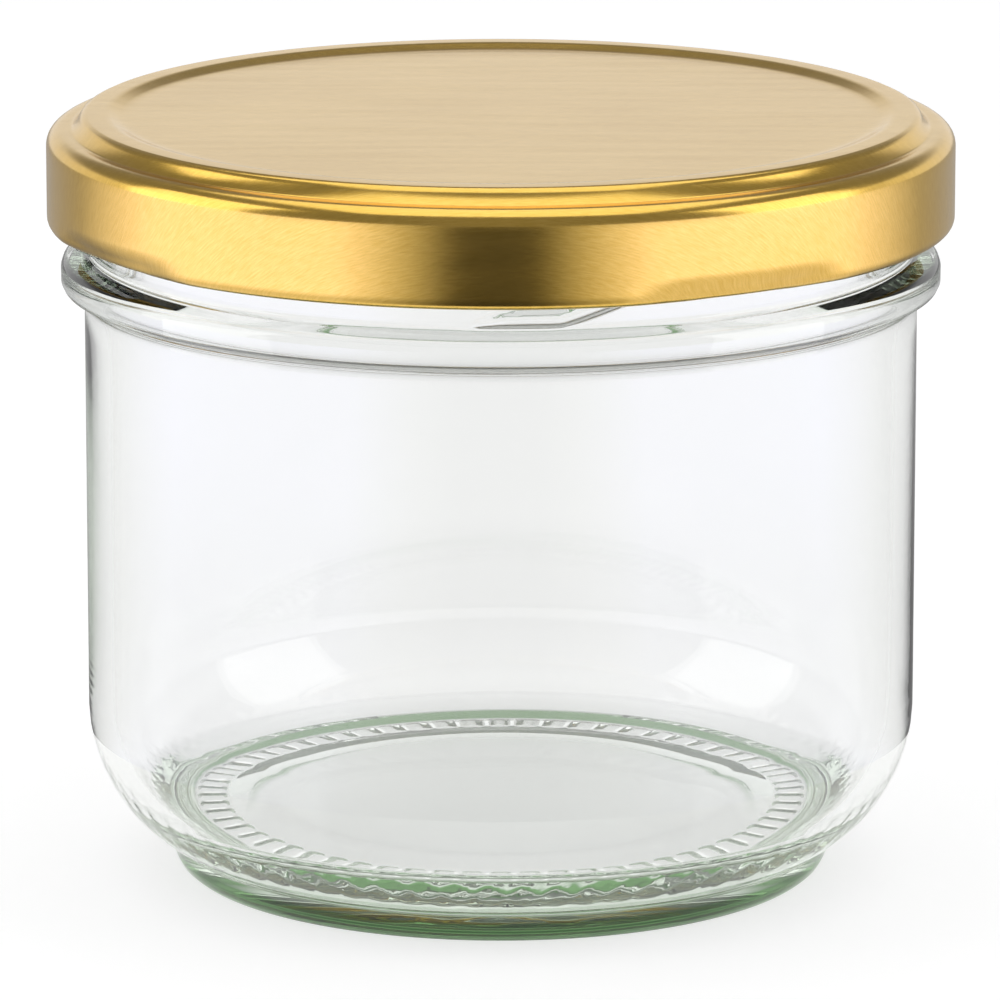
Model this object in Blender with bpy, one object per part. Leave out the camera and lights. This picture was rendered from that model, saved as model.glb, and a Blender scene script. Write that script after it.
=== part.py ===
"""Preserving jar with a twist-off lug closure, in three pieces: glass jar, sheet-metal cap, sealing ring.

Lengths are in metres and +Z is up. The origin is the centre of the ring that the jar stands on.
"""

import math

import bmesh
import bpy

MM = 0.001
SEGMENTS = 64  # facets round the axis
CLEARANCE = 0.3 * MM  # gap between pieces that rest against each other

# Glass jar: heights from the ground up, radii from the axis out.
RIM_HEIGHT = 71.15 * MM
BODY_RADIUS = 39.3 * MM
WALL = 2.3 * MM
BOTTOM_THICKNESS = 7.0 * MM
PUSH_UP = 0.8 * MM  # height of the flat underside above the ground
FLOOR_RISE = 0.1 * MM  # rise of the inside floor from its edge to the axis
BEARING_RADIUS = 28.0 * MM  # middle of the flat ring that touches the ground
BEARING_WIDTH = 3.0 * MM
BEARING_EDGE = 3.0 * MM  # width of the slope from the underside down to the ring
FOOT_RADIUS = 31.35 * MM
FOOT_HEIGHT = 2.9 * MM
FOOT_ROUNDING = 2.2 * MM
HEEL_HEIGHT = 13.2 * MM
HEEL_SWEEP = math.radians(62)  # turn of the curve from the upright body to the foot
INSIDE_CORNER = 2.0 * MM

# Glass finish, the threaded top that the cap fits.
NECK_RADIUS = 38.9 * MM
FINISH_WALL = 2.5 * MM
RIM_ROUNDING = 1.1 * MM
HEM_TO_BEAD = 2.6 * MM  # from the cap's lower edge down to the top of the bead
BEAD_PROJECTION = 2.6 * MM  # how far the bead stands out from the neck
BEAD_HEIGHT = 3.3 * MM
BEAD_LEDGE = 0.2 * MM  # fall of the bead's top face towards its outer edge
BEAD_TOP_ROUNDING = 1.1 * MM
BEAD_LOW_ROUNDING = 0.8 * MM
BEAD_FILLET = 0.4 * MM  # slope where the bead meets neck and body
MOUTH_TAPER = 4.5 * MM  # height over which the mouth widens into the body, below the bead's top

# Thread: one start for each lug, right-handed.
STARTS = 4
LEAD = 26.0 * MM
THREAD_DEPTH = 1.4 * MM
THREAD_HEIGHT = 2.0 * MM
THREAD_CREST = 0.7 * MM  # height of the flat outer face
THREAD_EDGE = 0.5 * MM  # how far the upper and lower faces stand out square
THREAD_TOP_MARGIN = 1.0 * MM  # glass left between the thread's upper end and the rim
RUN_IN_ANGLE = math.radians(16)  # steep stretch below the lug's seat
TAIL_TO_BEAD = 0.2 * MM  # from the thread's lower end down to the bead
TAIL_ANGLE = math.radians(14)  # level stretch at the thread's lower end
TAPER_ANGLE = math.radians(9)  # run over which a thread end fades into the neck
TIP_SHARE = 0.15  # size of a thread's very end, as a share of its full section
THREAD_STEP = math.radians(4.2)  # angle between its sections
THREAD_SINK = 0.5 * MM  # how deep the thread's root lies in the neck

# Cap: sheet metal, with its shape given on the outer face.
SHEET = 0.22 * MM
CAP_HEIGHT = 10.64 * MM
THREAD_TO_HEM = 0.5 * MM  # radial gap between thread and curled edge
HEM_RADIUS = 0.98 * MM
HEM_SWEEP = math.radians(285)
SHOULDER_RADIUS = 1.54 * MM
LEDGE_DEPTH = 1.42 * MM  # ledge below the top of the raised ring
RISER_WIDTH = 1.35 * MM
RING_OVERHANG = 0.12 * MM  # raised ring's outer edge beyond the neck
RING_WIDTH = 2.1 * MM  # flat top of the raised ring
RISER_INSET = 0.4  # sideways shift of the riser's inner face, as a share of the sheet
RISER_BENDS = ((0.3, 0.14), (0.62, 0.62))  # (share of the riser's width, share of its fall)
PANEL_SLOPE_WIDTH = 1.75 * MM
PANEL_DEPTH = 0.46 * MM
SLOPE_BEND = (0.35, 0.12)  # (share of the slope's width, share of its rise)
SKIRT_RINGS = (3.2 * HEM_RADIUS, 1.6 * HEM_RADIUS)  # bends of the skirt above the hem's centre

# Lugs: the hem pressed flat and inwards at equal steps round the cap.
LUG_AZIMUTH = math.radians(-90 + 32)  # middle of the first lug, in the tight cap
LUG_REACH = 0.95 * MM  # overlap of lug and thread, radially
LUG_HEIGHT = 0.86 * MM
LUG_ANGLE = math.radians(8)
LUG_BLEND_ANGLE = math.radians(4)
DENT_ANGLE = math.radians(34)
DENT_EDGE = 0.6  # share of half the dent over which it fades out
DENT_DEPTH = 0.75 * MM
DENT_HEIGHT = 2.9 * MM

# Sealing ring, in the channel under the raised ring.
SEAL_HEIGHT = 0.75 * MM
SEAL_SIDE = 0.5 * MM  # height of its upright sides
SEAL_BEVEL = 0.35 * MM
SEAL_MARGIN = 0.2 * MM  # from its sides to the edges of the raised ring

# Sizes that follow from those above.
HEEL_ACROSS = (BODY_RADIUS - FOOT_RADIUS) / (1 - math.cos(HEEL_SWEEP))
HEEL_DOWN = HEEL_HEIGHT / math.sin(HEEL_SWEEP)
HEEL_CENTRE = (BODY_RADIUS - HEEL_ACROSS, FOOT_HEIGHT + HEEL_HEIGHT)
BEAD_RADIUS = NECK_RADIUS + BEAD_PROJECTION
THREAD_RADIUS = NECK_RADIUS + THREAD_DEPTH
MOUTH_RADIUS = NECK_RADIUS - FINISH_WALL
HEM_CENTRE_RADIUS = THREAD_RADIUS + THREAD_TO_HEM + HEM_RADIUS
CAP_RADIUS = HEM_CENTRE_RADIUS + HEM_RADIUS
RING_OUTER = NECK_RADIUS + RING_OVERHANG
RING_INNER = RING_OUTER - RING_WIDTH
SEAL_BOTTOM = RIM_HEIGHT + CLEARANCE
CHANNEL_TOP = SEAL_BOTTOM + SEAL_HEIGHT + CLEARANCE
CAP_TOP = CHANNEL_TOP + SHEET
CAP_BOTTOM = CAP_TOP - CAP_HEIGHT
LUG_TOP = CAP_BOTTOM + LUG_HEIGHT
BEAD_TOP = CAP_BOTTOM - HEM_TO_BEAD
THREAD_SEAT = LUG_TOP + CLEARANCE
THREAD_TAIL = BEAD_TOP + TAIL_TO_BEAD
LUG_INNER_RADIUS = THREAD_RADIUS - LUG_REACH


def material(name, colour, roughness, metallic=0.0, transmission=0.0):
    made = bpy.data.materials.new(name)
    made.use_nodes = True
    shader = made.node_tree.nodes["Principled BSDF"]
    shader.inputs["Base Color"].default_value = (*colour, 1.0)
    shader.inputs["Roughness"].default_value = roughness
    shader.inputs["Metallic"].default_value = metallic
    shader.inputs["Transmission Weight"].default_value = transmission
    made.diffuse_color = (*colour, 1.0)
    return made


def clear_scene():
    for obj in list(bpy.data.objects):
        bpy.data.objects.remove(obj, do_unlink=True)


def arc(centre, radii, start, end, steps):
    """Points (radius, height) on an elliptical arc, angles in degrees from outward, both ends included."""
    points = []
    for i in range(steps + 1):
        angle = math.radians(start + (end - start) * i / steps)
        radius = centre[0] + radii[0] * math.cos(angle)
        points.append((radius, centre[1] + radii[1] * math.sin(angle)))
    return points


def smooth(share):
    """0 below 0, 1 above 1 and an even S-curve between."""
    share = min(max(share, 0.0), 1.0)
    return share * share * (3.0 - 2.0 * share)


def finish_object(mesh_name, mesh, surface):
    obj = bpy.data.objects.new(mesh_name, mesh)
    bpy.context.scene.collection.objects.link(obj)
    mesh.materials.append(surface)
    mesh.shade_smooth()
    mesh.set_sharp_from_angle(angle=math.radians(30))
    return obj


def lathe_mesh(name, outline_at, on_axis):
    """Closed mesh through one outline for each azimuth.

    The outline runs anticlockwise in the (radius, height) plane. When on_axis is true it is open, its two
    ends lie on the axis, and each end becomes one vertex.
    """
    build = bmesh.new()
    rings = []
    for i in range(SEGMENTS):
        azimuth = 2 * math.pi * i / SEGMENTS
        outline = outline_at(azimuth)
        if on_axis:
            outline = outline[1:-1]
        x, y = math.cos(azimuth), math.sin(azimuth)
        rings.append([build.verts.new((r * x, r * y, z)) for r, z in outline])
    ends = []
    if on_axis:
        outline = outline_at(0.0)
        ends = [build.verts.new((0.0, 0.0, outline[k][1])) for k in (0, -1)]
    for i in range(SEGMENTS):
        this, after = rings[i], rings[(i + 1) % SEGMENTS]
        spans = len(this) - 1 if on_axis else len(this)
        for k in range(spans):
            j = (k + 1) % len(this)
            build.faces.new((this[k], after[k], after[j], this[j]))
        if on_axis:
            build.faces.new((ends[0], after[0], this[0]))
            build.faces.new((ends[1], this[-1], after[-1]))
    bmesh.ops.recalc_face_normals(build, faces=build.faces)
    mesh = bpy.data.meshes.new(name)
    build.to_mesh(mesh)
    build.free()
    return mesh


def jar_outline():
    """From the middle of the underside, up the outside, over the rim and down the inside."""
    bearing_in = BEARING_RADIUS - BEARING_WIDTH / 2
    bearing_out = BEARING_RADIUS + BEARING_WIDTH / 2
    underside = [(0.0, PUSH_UP), (bearing_in - BEARING_EDGE, PUSH_UP), (bearing_in, 0.0)]
    foot_size = (FOOT_RADIUS - bearing_out, FOOT_ROUNDING)
    foot = arc((bearing_out, FOOT_ROUNDING), foot_size, -90, 0, 4)
    heel = arc(HEEL_CENTRE, (HEEL_ACROSS, HEEL_DOWN), -math.degrees(HEEL_SWEEP), 0, 8)
    return underside + foot + heel + bead_outline() + rim_outline() + inside_outline()


def bead_outline():
    low = BEAD_TOP - BEAD_HEIGHT
    low_centre = (BEAD_RADIUS - BEAD_LOW_ROUNDING, low + BEAD_LOW_ROUNDING)
    top_centre = (BEAD_RADIUS - BEAD_TOP_ROUNDING, BEAD_TOP - BEAD_LEDGE - BEAD_TOP_ROUNDING)
    lower = [(BODY_RADIUS, low - BEAD_FILLET)] + arc(low_centre, (BEAD_LOW_ROUNDING,) * 2, -70, 0, 3)
    upper = arc(top_centre, (BEAD_TOP_ROUNDING,) * 2, 0, 75, 3)
    return lower + upper + [(NECK_RADIUS + BEAD_FILLET, BEAD_TOP), (NECK_RADIUS, BEAD_TOP + BEAD_FILLET)]


def rim_outline():
    height = RIM_HEIGHT - RIM_ROUNDING
    outer = arc((NECK_RADIUS - RIM_ROUNDING, height), (RIM_ROUNDING,) * 2, 0, 90, 4)
    return outer + arc((MOUTH_RADIUS + RIM_ROUNDING, height), (RIM_ROUNDING,) * 2, 90, 180, 4)


def inside_outline():
    floor = PUSH_UP + BOTTOM_THICKNESS
    mouth = [(MOUTH_RADIUS, BEAD_TOP), (BODY_RADIUS - WALL, BEAD_TOP - MOUTH_TAPER)]
    across, down = HEEL_ACROSS - WALL, HEEL_DOWN - WALL
    corner_height = floor + INSIDE_CORNER
    turn = math.asin((HEEL_CENTRE[1] - corner_height) / (down - INSIDE_CORNER))
    heel = arc(HEEL_CENTRE, (across, down), 0, -math.degrees(turn), 5)
    corner_radius = HEEL_CENTRE[0] + (across - INSIDE_CORNER) * math.cos(turn)
    corner = arc((corner_radius, corner_height), (INSIDE_CORNER,) * 2, -math.degrees(turn), -90, 3)
    return mouth + heel + corner[1:] + [(0.0, floor + FLOOR_RISE)]


def thread_underside(turn):
    """Height of a thread's lower edge at an angle past the near end of its lug's seat."""
    if turn >= 0:
        return THREAD_SEAT + LEAD * turn / (2 * math.pi)
    return THREAD_SEAT + (THREAD_TAIL - THREAD_SEAT) * min(-turn / RUN_IN_ANGLE, 1.0)


def thread_section(turn, share):
    """Corners (radius, height) of the thread's section, scaled by share."""
    height = THREAD_HEIGHT * share
    low = thread_underside(turn)
    if turn > 0:
        low += (THREAD_HEIGHT - height) / 2
    top = low + height
    bevel = (height - THREAD_CREST * share) / 2
    root = NECK_RADIUS - THREAD_SINK
    edge = NECK_RADIUS + THREAD_EDGE * share
    crest = NECK_RADIUS + THREAD_DEPTH * share
    return [(root, low), (edge, low), (crest, low + bevel), (crest, top - bevel), (edge, top), (root, top)]


def thread_mesh(start):
    """One thread of the finish, as a closed ribbon that sinks into the neck."""
    seat_azimuth = LUG_AZIMUTH - LUG_ANGLE / 2 - LUG_BLEND_ANGLE + start * 2 * math.pi / STARTS
    first = -RUN_IN_ANGLE - TAIL_ANGLE
    rise = RIM_HEIGHT - RIM_ROUNDING - THREAD_TOP_MARGIN - THREAD_HEIGHT - THREAD_SEAT
    last = rise * 2 * math.pi / LEAD
    count = math.ceil((last - first) / THREAD_STEP)
    build = bmesh.new()
    rings = []
    for i in range(count + 1):
        turn = first + (last - first) * i / count
        share = TIP_SHARE + (1 - TIP_SHARE) * smooth(min(turn - first, last - turn) / TAPER_ANGLE)
        azimuth = seat_azimuth + turn
        x, y = math.cos(azimuth), math.sin(azimuth)
        rings.append([build.verts.new((r * x, r * y, z)) for r, z in thread_section(turn, share)])
    for this, after in zip(rings, rings[1:]):
        for k in range(len(this)):
            j = (k + 1) % len(this)
            build.faces.new((this[k], after[k], after[j], this[j]))
    build.faces.new(rings[0])
    build.faces.new(reversed(rings[-1]))
    bmesh.ops.recalc_face_normals(build, faces=build.faces)
    mesh = bpy.data.meshes.new(f"thread_{start + 1}")
    build.to_mesh(mesh)
    build.free()
    return mesh


def make_jar(glass):
    mesh = lathe_mesh("glass_jar", lambda azimuth: jar_outline(), on_axis=True)
    jar = finish_object("glass_jar", mesh, glass)
    for start in range(STARTS):
        thread = bpy.data.objects.new(f"thread_{start + 1}", thread_mesh(start))
        bpy.context.scene.collection.objects.link(thread)
        thread.hide_render = True
        thread.display_type = "WIRE"
        union = jar.modifiers.new(f"thread_{start + 1}", "BOOLEAN")
        union.operation = "UNION"
        union.solver = "EXACT"
        union.object = thread
    return jar


def lug_shares(azimuth):
    """How far the section at this azimuth is pressed flat, pushed in, and dented on the outside."""
    spacing = 2 * math.pi / STARTS
    off = abs((azimuth - LUG_AZIMUTH + spacing / 2) % spacing - spacing / 2)
    flat = smooth((LUG_ANGLE / 2 + 2 * LUG_BLEND_ANGLE - off) / LUG_BLEND_ANGLE)
    reach = smooth((LUG_ANGLE / 2 + LUG_BLEND_ANGLE - off) / LUG_BLEND_ANGLE)
    dent = smooth((DENT_ANGLE / 2 - off) / (DENT_ANGLE / 2 * DENT_EDGE))
    return flat, reach, dent


def pressed(point, azimuth):
    """A point of the plain hem and lower skirt, moved to where the press leaves it."""
    flat, reach, dent = lug_shares(azimuth)
    r, z = point
    above = z - CAP_BOTTOM
    dented = dent * DENT_DEPTH * smooth(1.0 - above / DENT_HEIGHT)
    inward = (CAP_RADIUS - r) / (2 * HEM_RADIUS)
    if above > 2 * HEM_RADIUS + SHEET or inward < SHEET / (2 * HEM_RADIUS):
        return r - dented, z
    inner_share = smooth(inward)
    squeeze = flat * (1.0 - LUG_HEIGHT / (2 * HEM_RADIUS)) * smooth(2 * inward)
    shift = reach * inner_share * (CAP_RADIUS - 2 * HEM_RADIUS - LUG_INNER_RADIUS)
    return r - dented * (1.0 - inner_share) - shift, CAP_BOTTOM + above * (1.0 - squeeze)


def cap_face(inset):
    """The cap's profile from panel to skirt, moved inwards by inset: 0 for the outer face."""
    top = CAP_TOP - inset
    panel_r = RING_INNER - PANEL_SLOPE_WIDTH
    bend_r, bend_z = SLOPE_BEND
    face = [(panel_r, top - PANEL_DEPTH)]
    face += [(panel_r + bend_r * PANEL_SLOPE_WIDTH, top - (1 - bend_z) * PANEL_DEPTH), (RING_INNER, top)]
    riser_r = RING_OUTER - RISER_INSET * inset
    for across, down in ((0.0, 0.0), *RISER_BENDS, (1.0, 1.0)):
        face.append((riser_r + across * RISER_WIDTH, top - down * LEDGE_DEPTH))
    shoulder_centre = (CAP_RADIUS - SHOULDER_RADIUS, CAP_TOP - LEDGE_DEPTH - SHOULDER_RADIUS)
    face += arc(shoulder_centre, (SHOULDER_RADIUS - inset,) * 2, 90, 0, 4)
    return face + [(CAP_RADIUS - inset, CAP_BOTTOM + HEM_RADIUS + above) for above in SKIRT_RINGS]


def hem_curl(radius):
    """The curled edge, from the skirt round below and back up on the inside."""
    centre = (HEM_CENTRE_RADIUS, CAP_BOTTOM + HEM_RADIUS)
    return arc(centre, (radius, radius), 0, -math.degrees(HEM_SWEEP), 11)


def cap_outline(azimuth):
    """Section of the cap from the axis along its inner face, round the hem, and back on the outer face."""
    inner_face = cap_face(SHEET) + hem_curl(HEM_RADIUS - SHEET)
    outer_face = cap_face(0.0) + hem_curl(HEM_RADIUS)
    section = [pressed(point, azimuth) for point in inner_face + outer_face[::-1]]
    panel = CAP_TOP - PANEL_DEPTH
    return [(0.0, panel - SHEET)] + section + [(0.0, panel)]


def make_cap(tinplate):
    return finish_object("lug_cap", lathe_mesh("lug_cap", cap_outline, on_axis=True), tinplate)


def seal_outline(azimuth):
    """Section of the sealing ring: flat towards the cap, bevelled towards the rim."""
    inner = RING_INNER + SEAL_MARGIN
    outer = RING_OUTER - SEAL_MARGIN
    top = SEAL_BOTTOM + SEAL_HEIGHT
    edge = top - SEAL_SIDE
    lower = [(inner, edge), (inner + SEAL_BEVEL, SEAL_BOTTOM), (outer - SEAL_BEVEL, SEAL_BOTTOM)]
    return lower + [(outer, edge), (outer, top), (inner, top)]


def make_seal(compound):
    mesh = lathe_mesh("sealing_liner", seal_outline, on_axis=False)
    return finish_object("sealing_liner", mesh, compound)


def main():
    clear_scene()
    glass = material("clear_glass", (0.86, 0.92, 0.88), 0.04, transmission=1.0)
    tinplate = material("gold_lacquered_tinplate", (0.83, 0.62, 0.22), 0.28, metallic=1.0)
    compound = material("sealing_compound", (0.85, 0.83, 0.76), 0.55)
    make_jar(glass)
    make_cap(tinplate)
    make_seal(compound)


main()
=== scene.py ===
"""Preserving jar with a twist-off lug cap: pieces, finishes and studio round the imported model."""

import math

import bmesh
import bpy
import numpy as np
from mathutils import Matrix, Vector


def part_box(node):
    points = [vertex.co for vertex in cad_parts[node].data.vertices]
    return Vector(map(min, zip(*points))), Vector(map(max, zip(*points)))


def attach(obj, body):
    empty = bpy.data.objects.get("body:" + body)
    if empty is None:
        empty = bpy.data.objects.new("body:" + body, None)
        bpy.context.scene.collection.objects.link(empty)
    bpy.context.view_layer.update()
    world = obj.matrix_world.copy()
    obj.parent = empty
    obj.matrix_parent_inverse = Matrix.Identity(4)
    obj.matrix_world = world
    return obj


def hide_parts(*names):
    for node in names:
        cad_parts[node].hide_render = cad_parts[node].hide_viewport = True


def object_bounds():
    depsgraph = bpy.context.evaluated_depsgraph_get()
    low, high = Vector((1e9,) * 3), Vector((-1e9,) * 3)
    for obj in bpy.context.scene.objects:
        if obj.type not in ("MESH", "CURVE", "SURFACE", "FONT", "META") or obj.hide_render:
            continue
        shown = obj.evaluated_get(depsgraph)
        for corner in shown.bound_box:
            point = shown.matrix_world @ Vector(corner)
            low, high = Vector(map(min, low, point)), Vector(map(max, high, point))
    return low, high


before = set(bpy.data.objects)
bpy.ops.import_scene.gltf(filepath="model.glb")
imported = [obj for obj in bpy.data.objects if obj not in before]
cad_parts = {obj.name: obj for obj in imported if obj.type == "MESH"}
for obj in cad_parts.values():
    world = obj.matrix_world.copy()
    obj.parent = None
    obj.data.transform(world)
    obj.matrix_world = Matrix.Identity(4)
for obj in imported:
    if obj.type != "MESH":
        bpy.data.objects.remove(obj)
cad_box = [list(corner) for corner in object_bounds()]

MM = 0.001
WHITE = (1.0, 1.0, 1.0, 1.0)
BLACK = (0.0, 0.0, 0.0, 1.0)
jar_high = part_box("glass_jar")[1]
cap_low, cap_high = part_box("lug_cap")
seal_low, seal_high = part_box("sealing_liner")

# Glass jar, from the ground up.
RIM_HEIGHT = jar_high.z
BEAD_RADIUS = jar_high.x
BODY_RADIUS = BEAD_RADIUS - 2.2 * MM
NECK_RADIUS = BEAD_RADIUS - 2.6 * MM
WALL = 2.3 * MM
FINISH_WALL = 2.5 * MM
FLOOR_EDGE = 7.8 * MM
FLOOR_RISE = 0.1 * MM
PUSH_UP = 0.8 * MM
BEARING_INNER = 26.5 * MM
BEARING_OUTER = 29.5 * MM
BEARING_EDGE = 3.0 * MM
FOOT_RADIUS = 31.35 * MM
FOOT_HEIGHT = 2.9 * MM
FOOT_ROUNDING = 2.2 * MM
HEEL_HEIGHT = 13.2 * MM
HEEL_SWEEP = math.radians(62)
CORNER_RADIUS = 2.0 * MM
RIM_ROUNDING = 1.1 * MM
BEAD_TOP = cap_low.z - 2.6 * MM
BEAD_HEIGHT = 3.3 * MM
BEAD_LEDGE = 0.2 * MM
BEAD_TOP_ROUNDING = 1.1 * MM
BEAD_LOW_ROUNDING = 0.8 * MM
BEAD_FILLET = 0.4 * MM
MOUTH_TAPER = 4.5 * MM

# Surface relief of the glass. A net family is its turns round the jar, its rate up the jar in
# radians a metre, and how far the unevenness bends it.
KNURLS = 64
KNURL_DEPTH = 0.22 * MM
KNURL_FADE = 0.4 * MM
KNURL_SWING = 0.9
KNURL_LEVEL = 0.5
HEEL_RIPPLE = 0.055 * MM
HEEL_LOW = 4.0 * MM
HEEL_HIGH = 8.0 * MM
HEEL_FADE = 1.0 * MM
NET_RISING = (80, 1900.0, 2.2)
NET_FALLING = (67, -1500.0, -1.7)
NET_DRIFT = 0.8
NET_LEVEL = 0.4
WALL_WAVE = 0.12 * MM
WALL_WAVE_LOW = 12 * MM
WALL_WAVE_FADE = 8 * MM
WAVE_RATE = 120
WAVE_TURNS = (1, 6)
NET_WAVES = {"terms": 4, "seed": 11}
WALL_WAVES = {"terms": 5, "seed": 3}

# Threads.
STARTS = 4
LEAD = 26.0 * MM
THREAD_DEPTH = 1.4 * MM
THREAD_HEIGHT = 2.0 * MM
THREAD_LOWEST = 0.3
THREAD_FLANK = 0.7
THREAD_TOP_GAP = 1.0 * MM
NECK_REACH = 0.6 * MM
RUN_IN_ANGLE = math.radians(16)
TAIL_ANGLE = math.radians(14)
TAPER_ANGLE = math.radians(9)
LUG_HEIGHT = 0.86 * MM
THREAD_SEAT = cap_low.z + LUG_HEIGHT + 0.3 * MM
THREAD_TAIL = BEAD_TOP + 0.2 * MM

# Cap.
CAP_RADIUS = cap_high.x
CAP_TOP = cap_high.z
CAP_BOTTOM = cap_low.z
SHEET = 0.22 * MM
HEM_RADIUS = 0.98 * MM
HEM_SWEEP = math.radians(285)
HEM_START = 0.11
SHOULDER_RADIUS = 1.54 * MM
LEDGE_DEPTH = 1.42 * MM
RISER_WIDTH = 1.35 * MM
RISER_INSET = 0.4
RISER_BENDS = ((0.0, 0.0), (0.3, 0.14), (0.62, 0.62), (1.0, 1.0))
RING_OUTER = NECK_RADIUS + 0.12 * MM
RING_INNER = RING_OUTER - 2.1 * MM
PANEL_SLOPE_WIDTH = 1.75 * MM
PANEL_DEPTH = 0.46 * MM
SLOPE_BEND = (0.35, 0.12)
LUG_AZIMUTH = math.radians(-90 + 32)
LUG_REACH = 0.95 * MM
LUG_ANGLE = math.radians(8)
LUG_BLEND_ANGLE = math.radians(4)
LUG_INNER_RADIUS = NECK_RADIUS + THREAD_DEPTH - LUG_REACH
DENT_ANGLE = math.radians(34)
DENT_EDGE = 0.6
DENT_DEPTH = 0.75 * MM
DENT_HEIGHT = 2.2 * MM
DENT_FADE = 0.7

# Liner.
LINER_MARGIN = 0.2 * MM
LINER_BEVEL = (0.35 * MM, 0.5 * MM)

# Meshes: columns round the axis, rows along the outline, and the softening of the corners.
OUTLINE_STEP = 0.03 * MM
JAR_MESH = (480, 196, 0.16 * MM)
CAP_MESH = (420, 210, 0.05 * MM)
LINER_MESH = (384, 64, 0.07 * MM)
STUDIO_SIDES = 96

# Where the jar's outline gets more rows, and how many times as many.
NECK_BAND = 0.3 * MM
NECK_DENSITY = 6.0
BEARING_BAND = 0.2 * MM
BEARING_DENSITY = 9.0
HEEL_BAND = (4.0 * MM, 9.0 * MM)
HEEL_OUTSIDE = 25.0 * MM
HEEL_DENSITY = 3.0

# Glass finish. The tints stand for the long ways that light takes in thick glass; the foot's dark
# green is also painted shade, standing for the shadowed floor under the jar that shows through the
# foot.
GLASS_IOR = 1.52
GLASS_COLOUR = (0.5, 0.68, 0.45, 1.0)
GLASS_DENSITY = 9.0
# Dark green of the foot: partly thick green glass, partly painted shade of the floor under the jar.
FOOT_GREEN_AND_SHADE = (0.045, 0.15, 0.03, 1.0)
FOOT_SHADE_HEIGHTS = (2.0 * MM, 2.8 * MM)
FOOT_SHADE_RADII = (BEARING_OUTER, BEARING_OUTER + 0.5 * MM)
WALL_TINT = (0.94, 0.94, 0.94, 1.0)
WALL_TINT_HEIGHTS = (9.0 * MM, 15.0 * MM)

# Cap finish. A grain is the noise's scale, detail and roughness, and a span the part of it used.
TONE_SPAN = (0.35, 0.65)
GRAIN_SPAN = (0.3, 0.7)
GOLD = (0.80, 0.50, 0.07, 1.0)
GOLD_DARK = (0.75, 0.46, 0.07, 1.0)
GOLD_LIGHT = (0.89, 0.58, 0.13, 1.0)
ENAMEL = (0.80, 0.80, 0.77, 1.0)
GRAIN_TURN = math.radians(18)
GRAIN_STRETCH = (0.10, 1.0, 0.0)
STREAKS = (6500.0, 3.0, 0.6)
BROAD_GRAIN = (500.0, 2.0, 0.5)
CLOUDS = (60.0, 3.0, 0.5)
STREAK_SHARE = 0.7
GOLD_ROUGHNESS = (0.18, 0.22)
GRAIN_BUMP = (0.25, 0.0018 * MM)

# Liner finish.
COMPOUND = (0.85, 0.83, 0.76, 1.0)
COMPOUND_DARK = (0.80, 0.78, 0.70, 1.0)
COMPOUND_LIGHT = (0.88, 0.86, 0.80, 1.0)
COMPOUND_GRAIN = (900.0, 4.0, 0.5)
COMPOUND_ROUGHNESS = (0.42, 0.58)
COMPOUND_BUMP = (0.3, 0.02 * MM)

# Studio. Turns on the reflected ring are degrees away from the front.
FLOOR_RADIUS = 3.0
FLOOR_COLOUR = (0.45, 0.45, 0.45, 1.0)
FLOOR_GLOW = 0.72
RING_RADII = (0.06, 2.5)
# The reflected ring dims within these radii down to this share: a painted shadow of the jar.
RING_SHADOW_RADII = (0.12, 0.24)
RING_SHADOW_SHARE = 0.6
RING_SKEW = math.radians(1)
FRONT_GLOW = 0.07
SIDE_GLOW = 1.5
BACK_GLOW = 0.42
FRONT_TURN = (10.0, 38.0)
BACK_TURN = (92.0, 125.0)
SIDE_CAST = (1.0, 1.0, 1.5, 1.0)
SIDE_CAST_GLOW = (0.5, 1.4)
SKY = 0.25
BEHIND = 0.62
BEHIND_SPAN = (-0.3, 0.5)
BEHIND_HEIGHTS = (0.27, 0.37)
SIDE_BOX = {"size": (0.50, 0.56), "power": 1.3}
TOP_BOX = {"size": (0.9, 1.1), "power": 3.4}
LIGHT_PATHS = 24

# Camera.
CAMERA_PITCH = math.radians(12.95)
CAMERA_DISTANCE = 0.8
CAMERA_LENS = 303.0
CAMERA_SENSOR = 36.0
CAMERA_CLIP = (0.05, 20.0)
TARGET_SIDE = -0.08 * MM
TARGET_DROP = 1.32 * MM


# ---------------------------------------------------------------- outlines


def arc(centre, radii, start, end, steps):
    """Points (radius, height) on an elliptical arc, in degrees from outward, both ends included."""
    angle = np.radians(np.linspace(start, end, steps + 1))
    return np.column_stack((centre[0] + radii[0] * np.cos(angle),
                            centre[1] + radii[1] * np.sin(angle)))


def dome(radius, middle, edge, steps=60):
    """Points from the axis out to radius on a rise with a level top and a level foot."""
    r = np.linspace(0.0, radius, steps)
    return np.column_stack((r, edge + (middle - edge) * (1 + np.cos(math.pi * r / radius)) / 2))


def smooth(share):
    """A share from 0 to 1 with level ends."""
    share = np.clip(share, 0.0, 1.0)
    return share * share * (3.0 - 2.0 * share)


def even_steps(points, step):
    """The same outline cut into steps of equal length."""
    lengths = np.hypot(*np.diff(points, axis=0).T)
    points = points[np.concatenate(([True], lengths > 1e-9))]
    along = np.concatenate(([0.0], np.cumsum(np.hypot(*np.diff(points, axis=0).T))))
    places = np.linspace(0.0, along[-1], int(along[-1] / step) + 2)
    return np.column_stack([np.interp(places, along, points[:, k]) for k in (0, 1)])


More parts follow.
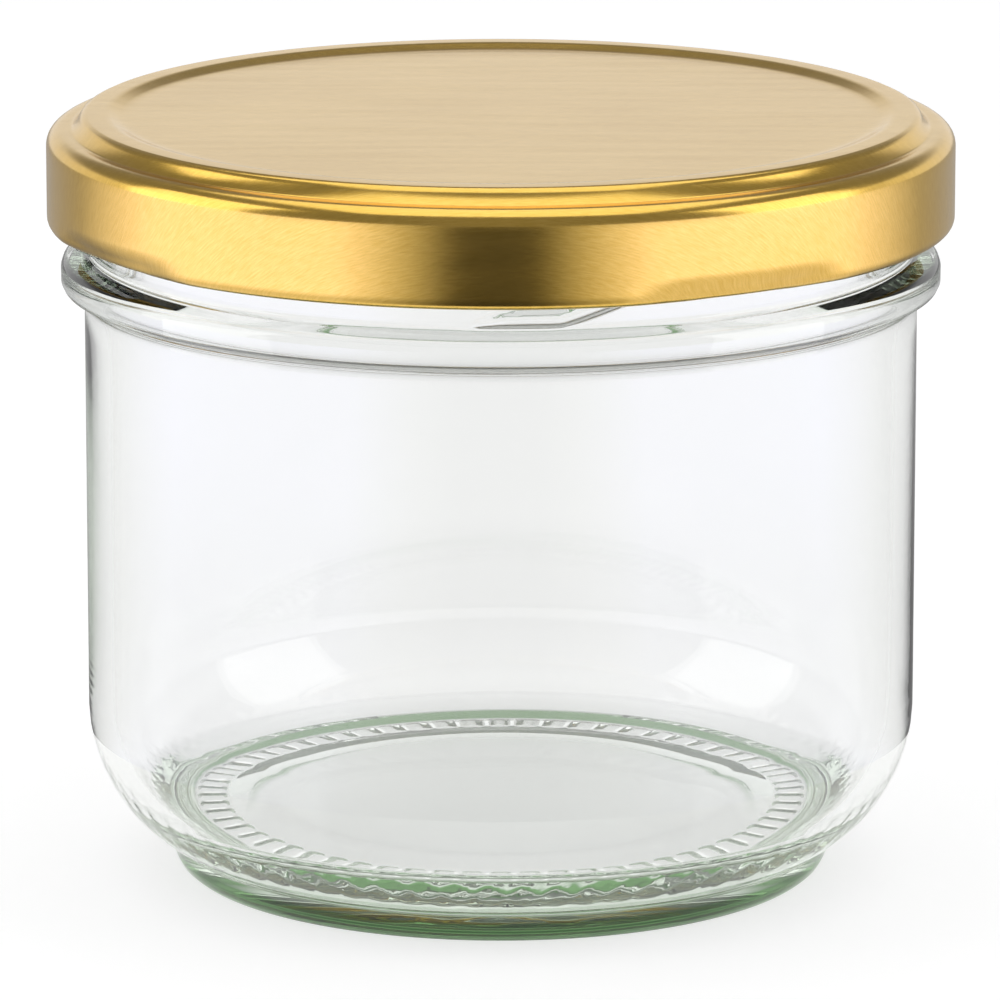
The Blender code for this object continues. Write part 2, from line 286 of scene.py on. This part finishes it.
def rounded(parts, rows, rounding, closed=False, bend_weight=2.5 * MM, extra=None):
    """The outline with its corners rounded off, cut into rows that lie closest where it bends.

    Rounding is the reach of the softening along the outline. Extra is added to the density of rows
    at the points that it is given.
    """
    step = OUTLINE_STEP
    points = np.concatenate(parts)
    if closed:
        points = np.concatenate((points, points[:1]))
    points = even_steps(points, step)
    reach = int(round(3 * rounding / step))
    kernel = np.exp(-0.5 * (np.arange(-reach, reach + 1) * step / rounding) ** 2)
    kernel /= kernel.sum()
    if closed:
        padded = np.concatenate((points[-reach - 1:-1], points, points[1:reach + 1]))
    else:
        head = 2 * points[0] - points[reach:0:-1]
        tail = 2 * points[-1] - points[-2:-reach - 2:-1]
        padded = np.concatenate((head, points, tail))
    points = np.column_stack([np.convolve(padded[:, k], kernel, "valid") for k in (0, 1)])
    heading = np.unwrap(np.arctan2(*np.gradient(points, axis=0).T[::-1]))
    density = 1.0 + bend_weight * np.abs(np.gradient(heading)) / step
    if extra is not None:
        density = density + extra(points)
    total = np.concatenate(([0.0], np.cumsum((density[1:] + density[:-1]) / 2)))
    places = np.linspace(0.0, total[-1], rows + 1 if closed else rows)
    result = np.column_stack([np.interp(places, total, points[:, k]) for k in (0, 1)])
    return result[:-1] if closed else result


def spread(rows, columns):
    """Radius and height of every point of a round body, before any relief."""
    return (np.repeat(rows[:, :1], columns, axis=1), np.repeat(rows[:, 1:], columns, axis=1))


def turns(columns):
    """The azimuth of every column."""
    return np.arange(columns) * 2 * math.pi / columns


def lathe(name, radius, height, closed, inner=None):
    """A piece from radius and height of every point, rows along the outline by columns round it.

    The rows run anticlockwise. An open outline starts and ends on the axis. Inner is a share for
    each row, kept on the mesh as an attribute of that name.
    """
    rows, columns = radius.shape
    azimuth = turns(columns)
    verts = np.stack((radius * np.cos(azimuth), radius * np.sin(azimuth), height), axis=2)
    index = np.arange(rows * columns).reshape(rows, columns)
    if closed:
        low, high = index, np.roll(index, -1, axis=0)
    else:
        low, high = index[1:-2], index[2:-1]
    corners = (low, np.roll(low, -1, axis=1), np.roll(high, -1, axis=1), high)
    faces = np.stack(corners, axis=2).reshape(-1, 4).tolist()
    if not closed:
        first, last = index[1], index[-2]
        start, end = (np.full(columns, index[row, 0]) for row in (0, -1))
        faces += np.column_stack((start, np.roll(first, -1), first)).tolist()
        faces += np.column_stack((end, last, np.roll(last, -1))).tolist()
    mesh = bpy.data.meshes.new(name)
    mesh.from_pydata(verts.reshape(-1, 3).tolist(), [], faces)
    if inner is not None:
        shares = mesh.attributes.new("inner", "FLOAT", "POINT")
        shares.data.foreach_set("value", np.repeat(inner, columns))
    if not closed:
        drop_loose(mesh)
    mesh.shade_smooth()
    return placed(name, mesh)


def drop_loose(mesh):
    """Removes the unused copies of the two points on the axis."""
    build = bmesh.new()
    build.from_mesh(mesh)
    loose = [v for v in build.verts if not v.link_faces]
    bmesh.ops.delete(build, geom=loose, context="VERTS")
    build.to_mesh(mesh)
    build.free()


def placed(name, data):
    """A new object with that data, in the scene."""
    obj = bpy.data.objects.new(name, data)
    bpy.context.scene.collection.objects.link(obj)
    return obj


# ---------------------------------------------------------------- glass jar


def jar_outline():
    """From the middle of the underside, up the outside, over the rim and down the inside."""
    sweep = math.degrees(HEEL_SWEEP)
    under = [(0.0, PUSH_UP), (BEARING_INNER - BEARING_EDGE, PUSH_UP), (BEARING_INNER, 0.0)]
    foot_size = (FOOT_RADIUS - BEARING_OUTER, FOOT_ROUNDING)
    foot = arc((BEARING_OUTER, FOOT_ROUNDING), foot_size, -90, 0, 24)
    across = (BODY_RADIUS - FOOT_RADIUS) / (1 - math.cos(HEEL_SWEEP))
    heel_size = (across, HEEL_HEIGHT / math.sin(HEEL_SWEEP))
    centre = (BODY_RADIUS - across, FOOT_HEIGHT + HEEL_HEIGHT)
    heel = arc(centre, heel_size, -sweep, 0, 60)
    low = BEAD_TOP - BEAD_HEIGHT
    low_centre = (BEAD_RADIUS - BEAD_LOW_ROUNDING, low + BEAD_LOW_ROUNDING)
    top_centre = (BEAD_RADIUS - BEAD_TOP_ROUNDING, BEAD_TOP - BEAD_LEDGE - BEAD_TOP_ROUNDING)
    bead = [[(BODY_RADIUS, low - BEAD_FILLET)],
            arc(low_centre, (BEAD_LOW_ROUNDING,) * 2, -70, 0, 16),
            arc(top_centre, (BEAD_TOP_ROUNDING,) * 2, 0, 75, 16),
            [(NECK_RADIUS + BEAD_FILLET, BEAD_TOP), (NECK_RADIUS, BEAD_TOP + BEAD_FILLET)]]
    mouth = NECK_RADIUS - FINISH_WALL
    top = RIM_HEIGHT - RIM_ROUNDING
    rim = [arc((NECK_RADIUS - RIM_ROUNDING, top), (RIM_ROUNDING,) * 2, 0, 90, 20),
           arc((mouth + RIM_ROUNDING, top), (RIM_ROUNDING,) * 2, 90, 180, 20)]
    follow = (heel_size[0] - WALL, heel_size[1] - WALL)
    turn = math.asin((centre[1] - CORNER_RADIUS - FLOOR_EDGE) / (follow[1] - CORNER_RADIUS))
    middle = (centre[0] + (follow[0] - CORNER_RADIUS) * math.cos(turn), FLOOR_EDGE + CORNER_RADIUS)
    inside = [[(mouth, BEAD_TOP), (BODY_RADIUS - WALL, BEAD_TOP - MOUTH_TAPER)],
              arc(centre, follow, 0, -math.degrees(turn), 30),
              arc(middle, (CORNER_RADIUS,) * 2, -math.degrees(turn), -90, 20),
              dome(middle[0], FLOOR_EDGE + FLOOR_RISE, FLOOR_EDGE)[::-1]]
    return [under, foot, heel, *bead, *rim, *inside]


def jar_density(points):
    """Where the jar's outline needs more rows: on the thread, the knurls and the heel's net."""
    r, z = points.T
    neck = (np.abs(r - NECK_RADIUS) < NECK_BAND) & (z > BEAD_TOP)
    bearing = (z < BEARING_BAND) & (r > BEARING_INNER - MM)
    heel = (z > HEEL_BAND[0]) & (z < HEEL_BAND[1]) & (r > z + HEEL_OUTSIDE)
    return NECK_DENSITY * neck + BEARING_DENSITY * bearing + HEEL_DENSITY * heel


def thread_relief(azimuth, height):
    """How far the threads stand out of the neck at each height and azimuth."""
    spacing = 2 * math.pi / STARTS
    first = -RUN_IN_ANGLE - TAIL_ANGLE
    rise = RIM_HEIGHT - RIM_ROUNDING - THREAD_TOP_GAP - THREAD_HEIGHT - THREAD_SEAT
    last = rise * 2 * math.pi / LEAD
    margin = (spacing - (last - first)) / 2 - first
    seat = LUG_AZIMUTH - LUG_ANGLE / 2 - LUG_BLEND_ANGLE
    turn = (azimuth - seat + margin) % spacing - margin
    share = smooth(np.minimum(turn - first, last - turn) / TAPER_ANGLE)
    run_in = np.clip(-turn / RUN_IN_ANGLE, 0.0, 1.0)
    climb = np.where(turn > 0, LEAD * turn / (2 * math.pi), (THREAD_TAIL - THREAD_SEAT) * run_in)
    bottom = THREAD_SEAT + climb
    tall = THREAD_HEIGHT * (THREAD_LOWEST + (1.0 - THREAD_LOWEST) * share)
    middle = bottom + tall / 2
    off = np.abs(height - middle) / (tall / 2)
    return THREAD_DEPTH * share * smooth((1.0 - off) / THREAD_FLANK)


def waves(azimuth, height, terms, seed):
    """A gentle unevenness between -1 and 1, the same at each run."""
    draw = np.random.default_rng(seed)
    total = 0.0
    for _ in range(terms):
        count = draw.integers(*WAVE_TURNS)
        rate = draw.uniform(-1.0, 1.0) * WAVE_RATE
        total = total + np.sin(count * azimuth + rate * height + draw.uniform(0.0, 2 * math.pi))
    return total / terms


def crossed(azimuth, height):
    """Two families of slanting ridges that cross in an irregular net, from 0 to 1."""
    drift = NET_DRIFT * waves(azimuth, height, **NET_WAVES)
    rising, falling = (np.cos(count * azimuth + rate * height + bend * drift)
                       for count, rate, bend in (NET_RISING, NET_FALLING))
    return smooth((np.maximum(rising, falling) - NET_LEVEL) / (1.0 - NET_LEVEL))


def make_jar():
    """The glass: threads on the neck, knurls under the foot, a net on the heel, uneven walls."""
    columns, count, softening = JAR_MESH
    rows = rounded(jar_outline(), count, softening, extra=jar_density)
    azimuth = turns(columns)
    radius, height = spread(rows, columns)
    neck = (np.abs(radius - NECK_RADIUS) < NECK_REACH) & (height > BEAD_TOP)
    radius = radius + np.where(neck, thread_relief(azimuth, height), 0.0)
    past_rim = np.cumsum(np.isclose(rows[:, 1], rows[:, 1].max())) > 0
    inner = past_rim[:, None] & (height < BEAD_TOP) & (height > WALL_WAVE_LOW)
    wander = WALL_WAVE * waves(azimuth, height, **WALL_WAVES)
    wander = wander * smooth((BEAD_TOP - height) / WALL_WAVE_FADE)
    wander = wander * smooth((height - WALL_WAVE_LOW) / WALL_WAVE_FADE)
    radius = radius + np.where(inner, wander, 0.0)
    ridge = smooth(KNURL_SWING * np.cos(KNURLS * azimuth) + KNURL_LEVEL)
    middle = (BEARING_INNER + BEARING_OUTER) / 2
    reach = (BEARING_OUTER - BEARING_INNER) / 2
    window = smooth((reach - np.abs(radius - middle)) / KNURL_FADE) * (height < FOOT_ROUNDING)
    height = height + KNURL_DEPTH * ridge * window
    outside = np.arange(len(rows))[:, None] < np.argmax(rows[:, 1])
    heel = outside * smooth((height - HEEL_LOW) / HEEL_FADE)
    heel = heel * smooth((HEEL_HIGH - height) / HEEL_FADE)
    radius = radius + HEEL_RIPPLE * heel * crossed(azimuth, height)
    return lathe("jar_glass", radius, height, closed=False)


# ---------------------------------------------------------------- cap


def lug_shares(azimuth):
    """How far the section is pressed flat, pushed in, and dented on the outside."""
    spacing = 2 * math.pi / STARTS
    off = np.abs((azimuth - LUG_AZIMUTH + spacing / 2) % spacing - spacing / 2)
    flat = smooth((LUG_ANGLE / 2 + 2 * LUG_BLEND_ANGLE - off) / LUG_BLEND_ANGLE)
    reach = smooth((LUG_ANGLE / 2 + LUG_BLEND_ANGLE - off) / LUG_BLEND_ANGLE)
    dent = smooth((DENT_ANGLE / 2 - off) / (DENT_ANGLE / 2 * DENT_EDGE))
    return flat, reach, dent


def cap_face(inset):
    """The cap's profile from panel to skirt, moved inwards by inset: 0 for the outer face."""
    top = CAP_TOP - inset
    panel_r = RING_INNER - PANEL_SLOPE_WIDTH
    bend_r, bend_z = SLOPE_BEND
    slope = [(panel_r, top - PANEL_DEPTH),
             (panel_r + bend_r * PANEL_SLOPE_WIDTH, top - (1 - bend_z) * PANEL_DEPTH),
             (RING_INNER, top)]
    riser_r = RING_OUTER - RISER_INSET * inset
    riser = [(riser_r + across * RISER_WIDTH, top - down * LEDGE_DEPTH)
             for across, down in RISER_BENDS]
    centre = (CAP_RADIUS - SHOULDER_RADIUS, CAP_TOP - LEDGE_DEPTH - SHOULDER_RADIUS)
    shoulder = arc(centre, (SHOULDER_RADIUS - inset,) * 2, 90, 0, 24)
    return np.concatenate((slope, riser, shoulder))


def hem_curl(radius):
    """The curled edge, from the skirt round below and back up on the inside."""
    centre = (CAP_RADIUS - HEM_RADIUS, CAP_BOTTOM + HEM_RADIUS)
    return arc(centre, (radius, radius), 0, -math.degrees(HEM_SWEEP), 60)


def make_cap():
    """The cap's sheet, curled at the hem and pressed in at the lugs."""
    columns, count, softening = CAP_MESH
    panel = CAP_TOP - PANEL_DEPTH
    inner = [[(0.0, panel - SHEET)], cap_face(SHEET), hem_curl(HEM_RADIUS - SHEET)]
    outer = [hem_curl(HEM_RADIUS)[::-1], cap_face(0.0)[::-1], [(0.0, panel)]]
    rows = rounded(inner + outer, count, softening, bend_weight=2.0 * MM)
    flat, reach, dent = lug_shares(turns(columns))
    r = rows[:, :1]
    above = rows[:, 1:] - CAP_BOTTOM
    dented = dent * DENT_DEPTH * smooth((1.0 - above / DENT_HEIGHT) / DENT_FADE)
    inward = (CAP_RADIUS - r) / (2 * HEM_RADIUS)
    hem = smooth((2 * HEM_RADIUS + 2 * SHEET - above) / (2 * SHEET))
    inner_share = smooth((inward - HEM_START) / (1.0 - HEM_START)) * hem
    squeeze = flat * (1.0 - LUG_HEIGHT / (2 * HEM_RADIUS)) * smooth(2 * inward) * hem
    shift = reach * inner_share * (CAP_RADIUS - 2 * HEM_RADIUS - LUG_INNER_RADIUS)
    skirt = r > RING_OUTER + RISER_WIDTH / 2
    radius = r - np.where(skirt, dented * (1.0 - inner_share) + shift, 0.0)
    height = CAP_BOTTOM + above * (1.0 - np.where(skirt, squeeze, 0.0))
    tip = hem_curl(HEM_RADIUS - SHEET / 2)[-1]
    inside = np.arange(len(rows)) < np.argmin(np.hypot(*(rows - tip).T))
    return lathe("cap_sheet", radius, height, closed=False, inner=inside.astype(float))


# ---------------------------------------------------------------- liner


def make_liner():
    """The ring of sealing compound, bevelled below."""
    columns, count, softening = LINER_MESH
    inner = RING_INNER + LINER_MARGIN
    outer = RING_OUTER - LINER_MARGIN
    low, high = seal_low.z, seal_high.z
    across, up = LINER_BEVEL
    edge = high - up
    outline = [[(inner, edge), (inner + across, low), (outer - across, low), (outer, edge),
                (outer, high), (inner, high)]]
    rows = rounded(outline, count, softening, closed=True)
    return lathe("liner_ring", *spread(rows, columns), closed=True)


# ---------------------------------------------------------------- finishes


class Nodes:
    """Short calls that add nodes to the tree of a material or world and return their outputs."""

    def __init__(self, tree):
        self.nodes, self.links = tree.nodes, tree.links

    def add(self, kind, **settings):
        node = self.nodes.new("ShaderNode" + kind)
        for key, value in settings.items():
            setattr(node, key, value)
        return node

    def feed(self, socket, value):
        """Links the socket to another node's output, or sets it to a constant."""
        if isinstance(value, bpy.types.NodeSocket):
            self.links.new(value, socket)
        else:
            socket.default_value = value

    def maths(self, operation, *values):
        node = self.add("Math", operation=operation)
        for socket, value in zip(node.inputs, values):
            self.feed(socket, value)
        return node.outputs[0]

    def product(self, first, second):
        return self.maths("MULTIPLY", first, second)

    def distance(self, x, y):
        """How far a point is from the axis."""
        return self.maths("SQRT", self.maths("ADD", self.product(x, x), self.product(y, y)))

    def place(self, kind="Object"):
        return self.add("TexCoord").outputs[kind]

    def split(self, vector):
        node = self.add("SeparateXYZ")
        self.feed(node.inputs[0], vector)
        return node.outputs

    def noise(self, vector, scale, detail, roughness):
        node = self.add("TexNoise")
        self.feed(node.inputs["Vector"], vector)
        self.feed(node.inputs["Scale"], scale)
        self.feed(node.inputs["Detail"], detail)
        self.feed(node.inputs["Roughness"], roughness)
        return node.outputs["Fac"]

    def ranged(self, value, span, start, end):
        """Start below the span, end above it, and a straight run between."""
        node = self.add("MapRange")
        self.feed(node.inputs["Value"], value)
        for key, number in zip(("From Min", "From Max", "To Min", "To Max"), (*span, start, end)):
            self.feed(node.inputs[key], number)
        return node.outputs["Result"]

    def mix(self, share, first, second):
        """One colour turning into another as the share goes from 0 to 1."""
        node = self.add("Mix", data_type="RGBA")
        self.feed(node.inputs["Factor"], share)
        self.feed(node.inputs["A"], first)
        self.feed(node.inputs["B"], second)
        return node.outputs["Result"]

    def bump(self, height, strength, distance):
        node = self.add("Bump")
        self.feed(node.inputs["Height"], height)
        self.feed(node.inputs["Strength"], strength)
        self.feed(node.inputs["Distance"], distance)
        return node.outputs[0]


class Finish(Nodes):
    """A new material. Its constants sit on the shader's own sockets."""

    def __init__(self, name, **constants):
        self.material = bpy.data.materials.new(name)
        self.material.use_nodes = True
        super().__init__(self.material.node_tree)
        self.inputs = self.nodes["Principled BSDF"].inputs
        for key, value in constants.items():
            self.inputs[key.replace("_", " ")].default_value = value


def glass():
    """Clear glass, faintly grey in the walls, and dark green in the foot: partly the green of thick
    glass, partly painted shade of the floor under the jar.
    """
    made = Finish("clear_glass", Base_Color=WHITE, Roughness=0.0, IOR=GLASS_IOR,
                  Transmission_Weight=1.0)
    x, y, z = made.split(made.place())
    outside = made.ranged(made.distance(x, y), FOOT_SHADE_RADII, 0.0, 1.0)
    foot = made.ranged(z, FOOT_SHADE_HEIGHTS, 1.0, 0.0)
    upper = made.ranged(z, WALL_TINT_HEIGHTS, 0.0, 1.0)
    walls = made.mix(upper, WHITE, WALL_TINT)
    # The foot's dark green is partly painted shade, for the shadowed floor beneath the foot.
    tinted = made.mix(made.product(outside, foot), walls, FOOT_GREEN_AND_SHADE)
    made.feed(made.inputs["Base Color"], tinted)
    absorb = made.add("VolumeAbsorption")
    absorb.inputs["Color"].default_value = GLASS_COLOUR
    absorb.inputs["Density"].default_value = GLASS_DENSITY
    made.feed(made.nodes["Material Output"].inputs["Volume"], absorb.outputs["Volume"])
    return made.material


def tinplate():
    """Gold lacquer on tinplate with a rolled grain, drawn down the skirt, and enamel inside."""
    made = Finish("gold_lacquered_tinplate", Base_Color=GOLD, Roughness=0.20, Metallic=1.0,
                  Coat_Weight=0.25, Coat_Roughness=0.08, Coat_IOR=1.5)
    place = made.place()
    x, y, z = made.split(place)
    drop = made.maths("SUBTRACT", CAP_TOP, z)
    r = made.maths("MAXIMUM", made.distance(x, y), MM)
    flat = made.add("VectorMath", operation="SCALE")
    made.feed(flat.inputs[0], place)
    made.feed(flat.inputs["Scale"], made.maths("ADD", 1.0, made.maths("DIVIDE", drop, r)))
    grain = made.add("Mapping")
    grain.inputs["Rotation"].default_value = (0.0, 0.0, GRAIN_TURN)
    grain.inputs["Scale"].default_value = GRAIN_STRETCH
    made.feed(grain.inputs["Vector"], flat.outputs[0])
    streaks = made.noise(grain.outputs[0], *STREAKS)
    broad = made.noise(grain.outputs[0], *BROAD_GRAIN)
    clouds = made.noise(place, *CLOUDS)
    mixed = made.maths("ADD", made.product(streaks, STREAK_SHARE),
                       made.product(clouds, 1.0 - STREAK_SHARE))
    gold = made.mix(made.ranged(mixed, TONE_SPAN, 0.0, 1.0), GOLD_DARK, GOLD_LIGHT)
    inside = made.add("Attribute", attribute_name="inner").outputs["Fac"]
    made.feed(made.inputs["Base Color"], made.mix(inside, gold, ENAMEL))
    made.feed(made.inputs["Metallic"], made.maths("SUBTRACT", 1.0, inside))
    made.feed(made.inputs["Roughness"], made.ranged(broad, GRAIN_SPAN, *GOLD_ROUGHNESS))
    made.feed(made.inputs["Normal"], made.bump(streaks, *GRAIN_BUMP))
    return made.material


def compound():
    """Pale sealing compound with a fine uneven skin."""
    made = Finish("sealing_compound", Base_Color=COMPOUND, Roughness=0.5)
    grain = made.noise(made.place(), *COMPOUND_GRAIN)
    made.feed(made.inputs["Base Color"], made.mix(grain, COMPOUND_DARK, COMPOUND_LIGHT))
    made.feed(made.inputs["Roughness"], made.ranged(grain, GRAIN_SPAN, *COMPOUND_ROUGHNESS))
    made.feed(made.inputs["Normal"], made.bump(grain, *COMPOUND_BUMP))
    return made.material


# ---------------------------------------------------------------- studio


def circle(radius, height):
    """Corners of a many-sided studio board."""
    step = 2 * math.pi / STUDIO_SIDES
    return [(radius * math.cos(step * k), radius * math.sin(step * k), height)
            for k in range(STUDIO_SIDES)]


def make_floor():
    """The pale floor, which glows a little so that it fades into the studio."""
    mesh = bpy.data.meshes.new("floor")
    mesh.from_pydata(circle(FLOOR_RADIUS, 0.0), [], [list(range(STUDIO_SIDES))])
    floor = placed("floor", mesh)
    made = Finish("pale_floor", Base_Color=FLOOR_COLOUR, Roughness=0.7, Emission_Color=WHITE,
                  Emission_Strength=FLOOR_GLOW, Specular_IOR_Level=0.2)
    mesh.materials.append(made.material)


def reflected_floor():
    """A ring on the floor that only reflections see: dark in front, bright beside, dim behind, and
    dimmer close to the jar as a painted shadow of the jar.
    """
    mesh = bpy.data.meshes.new("reflected_floor")
    inner, outer = (circle(radius, MM) for radius in RING_RADII)
    strip = [(k, STUDIO_SIDES + k, STUDIO_SIDES + (k + 1) % STUDIO_SIDES, (k + 1) % STUDIO_SIDES)
             for k in range(STUDIO_SIDES)]
    mesh.from_pydata(inner + outer, [], strip)
    board = placed("reflected_floor", mesh)
    made = Finish("reflected_floor", Base_Color=BLACK, Roughness=1.0, Emission_Color=WHITE,
                  Specular_IOR_Level=0.0)
    x, y, z = made.split(made.place())
    angle = made.maths("ARCTAN2", x, made.product(y, -1.0))
    off_front = made.maths("ABSOLUTE", made.maths("ADD", angle, RING_SKEW))
    front, back = ([math.radians(turn) for turn in span] for span in (FRONT_TURN, BACK_TURN))
    near = made.ranged(off_front, front, FRONT_GLOW, SIDE_GLOW)
    far = made.ranged(off_front, back, SIDE_GLOW, BACK_GLOW)
    # Painted shadow of the jar: the ring's glow drops towards the jar.
    jar_shadow = made.ranged(made.distance(x, y), RING_SHADOW_RADII, RING_SHADOW_SHARE, 1.0)
    glow = made.product(jar_shadow, made.maths("MINIMUM", near, far))
    cast = made.mix(made.ranged(glow, SIDE_CAST_GLOW, 0.0, 1.0), WHITE, SIDE_CAST)
    made.feed(made.inputs["Emission Strength"], glow)
    made.feed(made.inputs["Emission Color"], cast)
    mesh.materials.append(made.material)
    board.visible_camera = False
    board.visible_diffuse = False
    board.visible_shadow = False
    board.visible_transmission = False


def softbox(name, centre, towards, size, power):
    """A large area light."""
    lamp = bpy.data.lights.new(name, "AREA")
    lamp.shape = "RECTANGLE"
    lamp.size, lamp.size_y = size
    lamp.energy = power
    box = placed(name, lamp)
    box.location = centre
    aim = Vector(towards) - Vector(centre)
    box.rotation_euler = aim.to_track_quat("-Z", "Y").to_euler()


def make_world():
    """Bright behind the object near the horizon, dim above and on the camera's side."""
    world = bpy.data.worlds.new("studio")
    bpy.context.scene.world = world
    world.use_nodes = True
    made = Nodes(world.node_tree)
    x, y, z = made.split(made.place("Generated"))
    behind = made.ranged(y, BEHIND_SPAN, 0.0, 1.0)
    low = made.ranged(z, BEHIND_HEIGHTS, 1.0, 0.0)
    glow = made.maths("ADD", SKY, made.product(BEHIND, made.product(behind, low)))
    background = made.nodes["Background"].inputs
    made.feed(background["Strength"], glow)
    made.feed(background["Color"], WHITE)


def make_camera():
    """The camera at the photo's viewing angle."""
    middle = (cad_box[0][2] + cad_box[1][2]) / 2
    target = Vector((TARGET_SIDE, 0.0, middle - TARGET_DROP))
    back = Vector((0.0, -math.cos(CAMERA_PITCH), math.sin(CAMERA_PITCH)))
    lens = bpy.data.cameras.new("camera")
    lens.lens = CAMERA_LENS
    lens.sensor_width = CAMERA_SENSOR
    lens.clip_start, lens.clip_end = CAMERA_CLIP
    camera = placed("camera", lens)
    camera.location = target + CAMERA_DISTANCE * back
    camera.rotation_euler = (math.pi / 2 - CAMERA_PITCH, 0.0, 0.0)
    bpy.context.scene.camera = camera


jar = make_jar()
jar.data.materials.append(glass())
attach(jar, "jar")
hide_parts("glass_jar")

cap = make_cap()
cap.data.materials.append(tinplate())
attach(cap, "cap")
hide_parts("lug_cap")

liner = make_liner()
liner.data.materials.append(compound())
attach(liner, "liner")
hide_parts("sealing_liner")

make_floor()
make_world()
softbox("softbox_left", (-0.66, -0.06, 0.30), (0.0, 0.0, 0.04), **SIDE_BOX)
softbox("softbox_right", (0.65, -0.13, 0.30), (0.0, 0.0, 0.04), **SIDE_BOX)
softbox("softbox_top", (0.0, 0.10, 0.9), (0.0, 0.10, 0.0), **TOP_BOX)
reflected_floor()
make_camera()

# Light paths through the thick bottom are long, and would end black at Cycles' own limits.
scene = bpy.context.scene
scene.cycles.max_bounces = LIGHT_PATHS
scene.cycles.glossy_bounces = LIGHT_PATHS
scene.cycles.transmission_bounces = LIGHT_PATHS
scene.view_settings.view_transform = "Standard"
